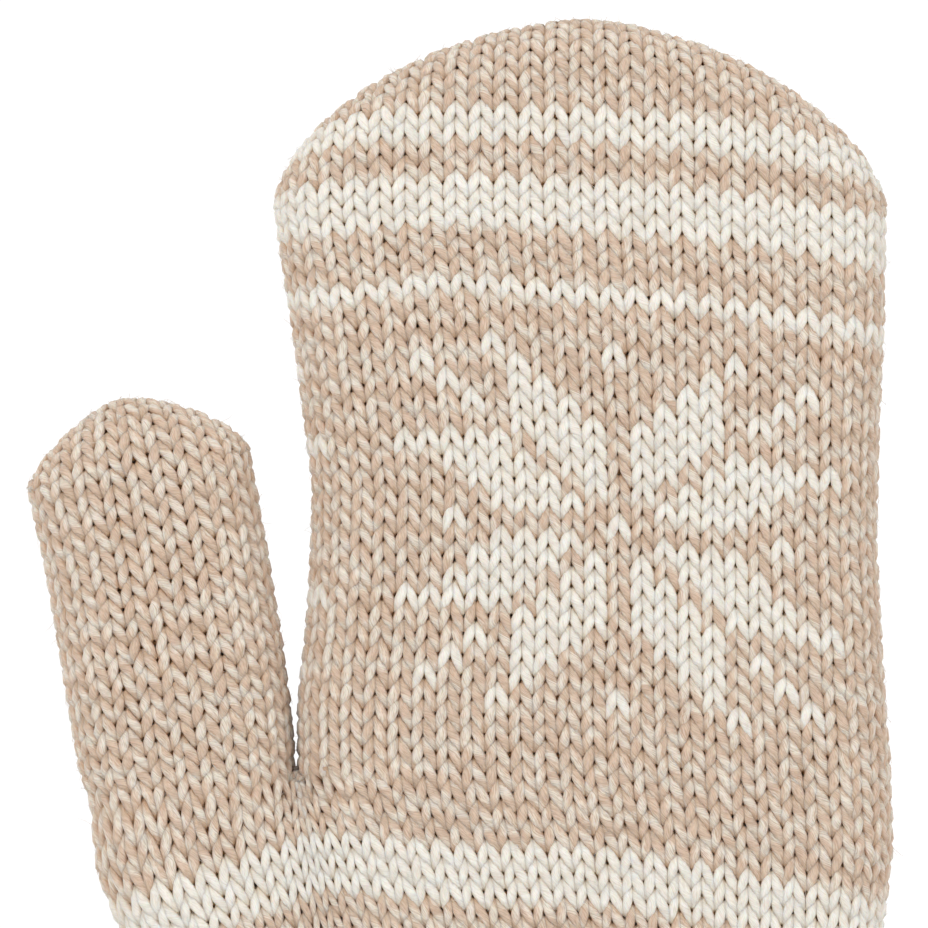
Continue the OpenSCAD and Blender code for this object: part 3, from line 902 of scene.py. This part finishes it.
# %% The crotch stitches
CROSSINGS = 9
t = np.linspace(0, 1, 60)
swing = CROSSINGS * math.pi * t
through = np.cos(math.pi * t)
rise = 0.5 * np.cos(swing) - 1.2 * through ** 2
closing = np.stack([-43.7 + 0.9 * np.sin(swing), -4.2 * through, 129.4 + rise], 1)
crotch = tube("crotch_stitches", closing, 0.8, False)
place(crotch, BEIGE, "palm", ())
print(f"crotch_stitches: {CROSSINGS} crossings, {triangle_count(crotch.data)} triangles")

# %% [markdown]
# ## Fleece lining
# The lining is a second mitten of fleece, cut as a back and a palm half and sewn up the
# sides. Each half is a grid laid on the same map as the knit and moved inwards, so it
# follows every bend. Fleece has a short soft pile, which the roughened inner face shows.

# %% Fleece material
def fleece_material(name, colour, pile):
    material, tree, shader = new_material(name)
    tufts = noise(tree, node(tree, "ShaderNodeTexCoord").outputs["Object"], pile, 4.0)
    shade = ramp(tree, tufts, ((0.32, tuple(c * 0.72 for c in colour)), (0.66, colour)))
    finish_material(tree, shader, shade, 0.95, 0.4, tufts, 0.7, 0.0006)
    return material


FLEECE = fleece_material("fleece", (0.62, 0.48, 0.34), 900)
print("fleece nodes:", len(FLEECE.node_tree.nodes))

# %% Lay a shell of cloth inside the knit
BACK, PALM, WHOLE = 0, 1, 2            # which side of a ring a shell covers


def shell_faces(m, n, closed):
    """Faces of a thick grid of m rows and n columns, its outer face first, then its inner, then its rims."""
    size, faces = m * n, []
    columns = [(j, (j + 1) % n) for j in range(n if closed else n - 1)]
    for i in range(m - 1):
        for j, k in columns:
            a, b = i * n + j, i * n + k
            faces.append((a, b, b + n, a + n))
            faces.append((size + a, size + a + n, size + b + n, size + b))
    top = (m - 1) * n
    for a, b in columns:
        faces.append((b, a, size + a, size + b))
        faces.append((top + a, top + b, size + top + b, size + top + a))
    if not closed:
        for a in range(0, top, n):
            faces.append((a, a + n, size + a + n, size + a))
            b = a + n - 1
            faces.append((b + n, b, size + b, size + b + n))
    return faces


def shell(name, ring, side, rows, inset, thick, steps, pile=0.0):
    """Part of a tube of cloth inside the knit, inset from it; steps is how many columns each wale has."""
    half, closed = RINGS[ring], side == WHOLE
    first, last = ((0, half), (half, 2 * half), (0, 2 * half))[side]
    n = int((last - first) * steps) + (not closed)
    m = max(2, int((rows[1] - rows[0]) * steps) + 1)
    wales = np.linspace(first, last, n, endpoint=not closed)
    wale, row = (grid.ravel() for grid in np.meshgrid(wales, np.linspace(rows[0], rows[1], m)))
    if not closed:
        wale = np.clip(wale, first + 1e-6, last - 1e-6)
    point, out, _ = cloth_frame(ring, wale, row)
    rough = rng.normal(0, pile, len(point))
    verts = np.concatenate([point - out * inset, point - out * (inset + thick + rough)[:, None]])
    mesh = bpy.data.meshes.new(name)
    mesh.from_pydata((verts * MM).tolist(), [], shell_faces(m, n, closed))
    mesh.polygons.foreach_set("use_smooth", np.ones(len(mesh.polygons), bool))
    obj = bpy.data.objects.new(name, mesh)
    bpy.context.scene.collection.objects.link(obj)
    print(f"{name}: {triangle_count(mesh)} triangles")
    return obj


# %% Line every part
LINING_IN, LINING_T = 3.9, 1.4
PILE = 0.12
LININGS = (("cuff_lining", "palm", (-51.5, -33.0), WRIST),
           ("palm_lining", "palm", (-33.0, -13.8), WRIST),
           ("finger_lining", "hand", (-13.3, 1.0), KNUCKLES),
           ("tip_lining", "hand", (1.0, 26.6), FINGER_JOINTS),
           ("thumb_lining", "thumb", (-13.3, -5.0), THUMB_BASE),
           ("thumb_tip_lining", "thumb", (-5.0, 7.2), THUMB_JOINT))
for side, half_name in ((BACK, "back"), (PALM, "palm")):
    for part, ring, rows, moves in LININGS:
        steps = 2 if ring == "thumb" else 1
        lining = shell(f"{part}_{half_name}_cloth", ring, side, rows, LINING_IN, LINING_T, steps, PILE)
        place(lining, FLEECE, moves, f"{part}_{half_name}")

# %% [markdown]
# ## Elastic, hem and label
# A soft tape of elastic lies between knit and lining at the wrist. At the hem the last
# row of knitting is bound off like a cord, and a whipped thread joins it to the lining.
# A blank ribbon is sewn in as a folded loop.

# %% Elastic and label materials
def woven_material(name, colour, ribs, sheen):
    material, tree, shader = new_material(name)
    wave = node(tree, "ShaderNodeTexWave", wave_type="BANDS", bands_direction="Z")
    settings(wave, {"Scale": ribs, "Distortion": 0.6, "Detail": 1.0})
    coords = node(tree, "ShaderNodeTexCoord")
    tree.links.new(coords.outputs["Object"], wave.inputs["Vector"])
    shade = ramp(tree, wave.outputs["Fac"], ((0.1, tuple(c * 0.8 for c in colour)), (0.7, colour)))
    finish_material(tree, shader, shade, 0.6, sheen, wave.outputs["Fac"], 0.4, 0.0002)
    return material


ELASTIC = woven_material("elastic_tape", (0.80, 0.78, 0.72), 500, 0.1)
RIBBON = woven_material("label_ribbon", (0.86, 0.84, 0.80), 900, 0.3)
# The thread's third colour is painted shade, unused as threads are given no depth.
THREAD = wool("sewing_thread", (0.76, 0.66, 0.55), (0.68, 0.57, 0.46), (0.30, 0.2, 0.12), 0.8)
print("made:", ELASTIC.name, RIBBON.name, THREAD.name)

# %% Wrist elastic
tape = shell("wrist_elastic_tape", "palm", WHOLE, (-36.3, -33.9), 3.25, 0.6, 4)
place(tape, ELASTIC, WRIST, "wrist_elastic")


# %% Threads that wind along a line
def winding(name, line, out, turns, across, rise, thread, closed=True, steps=10):
    """A thread wound round a line: turns laps of it, across wide into the cloth and rise high."""
    n = turns * steps
    at = np.linspace(0, len(line), n, endpoint=False) if closed else np.linspace(0, len(line) - 1, n)
    line, out = (np.concatenate([part, part[:1]]) if closed else part for part in (line, out))
    index = np.arange(len(line))
    centre = np.stack([np.interp(at, index, line[:, k]) for k in range(3)], 1)
    away = np.stack([np.interp(at, index, out[:, k]) for k in range(3)], 1)
    along = unit(np.roll(centre, -1, 0) - np.roll(centre, 1, 0) if closed else np.gradient(centre, axis=0))
    up = np.cross(away, along)
    a = 2 * math.pi * np.arange(n) / steps
    path = centre + away * (across * np.cos(a))[:, None] + up * (rise * np.sin(a))[:, None]
    obj = tube(name, path, thread, closed)
    print(f"{name}: {turns} turns, {triangle_count(obj.data)} triangles")
    return obj


HEM_ROW, POINTS_A_WALE = -51.75, 3
wales = 2 * RINGS["palm"]
hem_wales = np.linspace(0, wales, wales * POINTS_A_WALE, endpoint=False)
hem_line, hem_out, _ = cloth_frame("palm", hem_wales, np.full(len(hem_wales), HEM_ROW))
bind_off = winding("hem_bind_off", hem_line - hem_out * 1.5, hem_out, wales, 0.6, 0.45, 0.8)
place(bind_off, BEIGE, "cuff", ())
whip_line = hem_line - hem_out * 3.7 + [0, 0, 0.8]
whip = winding("hem_whip_stitches", whip_line, hem_out, 64, 1.5, 1.0, 0.28)
place(whip, THREAD, "cuff", "hem_stitching")


# %% Seams along the two curved tips
def tip_seam(name, outline, turns, depth, turned):
    """Overcast stitches just inside a tip's outline, which is turned into place for the thumb."""
    low = SIDE_POINTS + 14
    line_x, line_z, away_x, away_z = (part[low:-low:4] for part in outline)
    x, z = line_x - away_x * 1.7, line_z - away_z * 1.7
    if turned:
        x, z = tilt(x, z)
        x, z = THUMB_ROOT[0] + x, THUMB_ROOT[1] + z
    line = np.stack([x, np.zeros_like(x), z], 1)
    out = np.tile([0.0, 1.0, 0.0], (len(x), 1))
    return winding(name, line, out, turns, depth, 0.8, 0.6, closed=False)


hand_seam = tip_seam("tip_seam_stitches", HAND_TIP, 66, 1.2, False)
place(hand_seam, THREAD, "fingertips", "tip_seam")
thumb_seam = tip_seam("thumb_seam_stitches", THUMB_TIP, 24, 1.1, True)
place(thumb_seam, THREAD, "thumb_tip", "thumb_tip_seam")

# %% The blank label
FOLD_FROM, FOLD_LENGTH = 0.46, 0.08    # shares of the ribbon's length
HALF_GAP, RIPPLE, RIBBON_T = 0.00045, 0.0004, 0.0003
label_low, label_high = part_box("size_label")
width, drop = label_high.x - label_low.x, label_high.z - label_low.z
middle_x, middle_y = (label_low.x + label_high.x) / 2, (label_low.y + label_high.y) / 2
bpy.ops.object.select_all(action="DESELECT")
bpy.ops.mesh.primitive_grid_add(x_subdivisions=8, y_subdivisions=40, size=1)
label = bpy.context.object
label.name = "blank_label"
for v in label.data.vertices:
    across, along = v.co.x, v.co.y + 0.5
    bend = math.pi * min(1, max(0, (along - FOLD_FROM) / FOLD_LENGTH))
    height = min(along, 1 - along)
    y = middle_y - HALF_GAP * math.cos(bend) + RIPPLE * math.sin(across * 5) * height
    v.co = (middle_x + across * width, y, label_low.z + height * 2 * drop)
solid = label.modifiers.new("thickness", "SOLIDIFY")
solid.thickness, solid.offset = RIBBON_T, 0
bpy.ops.object.modifier_apply(modifier="thickness")
bpy.ops.object.shade_smooth()
place(label, RIBBON, "cuff", "size_label")
print(f"label {width * 1000:.0f} by {drop * 1000:.0f} mm, folded double")

# %% [markdown]
# ## Studio
# The mitten is lit as in a catalogue: a bright even room, one broad soft light from the
# upper left and a weaker one from the right. The camera stands level with the star.

# %% Camera
VIEW_W = 162.4 * MM                    # width of what the camera sees at the mitten
LENS, SENSOR = 255.0, 36.0
CAMERA_X, CAMERA_Z = -14.18 * MM, 183.95 * MM
camera_data = bpy.data.cameras.new("camera")
camera_data.lens, camera_data.sensor_width = LENS, SENSOR
camera_data.clip_start, camera_data.clip_end = 0.01, 20
camera = bpy.data.objects.new("camera", camera_data)
bpy.context.scene.collection.objects.link(camera)
camera.location = (CAMERA_X, -VIEW_W * LENS / SENSOR - HAND_T * MM, CAMERA_Z)
camera.rotation_euler = (math.pi / 2, 0, 0)
bpy.context.scene.camera = camera
print(f"camera {-camera.location.y:.2f} m in front of the mitten")

# %% Lights
AIM = Vector((0, 0, 0.16))
ROOM_LIGHT, ROOM_SEEN = 0.80, 0.27     # the backdrop is seen brighter than it lights


def area_light(name, at, size, power):
    data = bpy.data.lights.new(name, "AREA")
    data.shape, data.size, data.energy = "DISK", size, power
    light = bpy.data.objects.new(name, data)
    bpy.context.scene.collection.objects.link(light)
    light.location = at
    light.rotation_euler = (AIM - Vector(at)).to_track_quat("-Z", "Y").to_euler()
    print(f"{name} light: {power} W")


area_light("key", (-0.7, -0.9, 0.95), 0.5, 7.2)
area_light("fill", (0.9, -0.9, 0.35), 0.9, 4.6)
world = bpy.data.worlds.new("studio")
world.use_nodes = True
tree = world.node_tree
rays, room = node(tree, "ShaderNodeLightPath"), tree.nodes["Background"]
room.inputs[0].default_value = (1, 1, 1, 1)
strength = math_node(tree, "MULTIPLY_ADD", rays.outputs["Is Camera Ray"], ROOM_SEEN, ROOM_LIGHT)
tree.links.new(strength, room.inputs[1])
bpy.context.scene.world = world
bpy.context.scene.view_settings.view_transform = "Standard"

# %% Floor
bpy.ops.mesh.primitive_circle_add(vertices=96, radius=0.6, fill_type="NGON", location=(0, 0, -0.0015))
floor = bpy.context.object
floor.name = "floor"
pale_floor, _, floor_shader = new_material("pale_floor")
floor_shader.inputs["Base Color"].default_value = (0.86, 0.86, 0.86, 1)
floor.data.materials.append(pale_floor)
print(f"floor {floor.dimensions.x:.1f} m across")
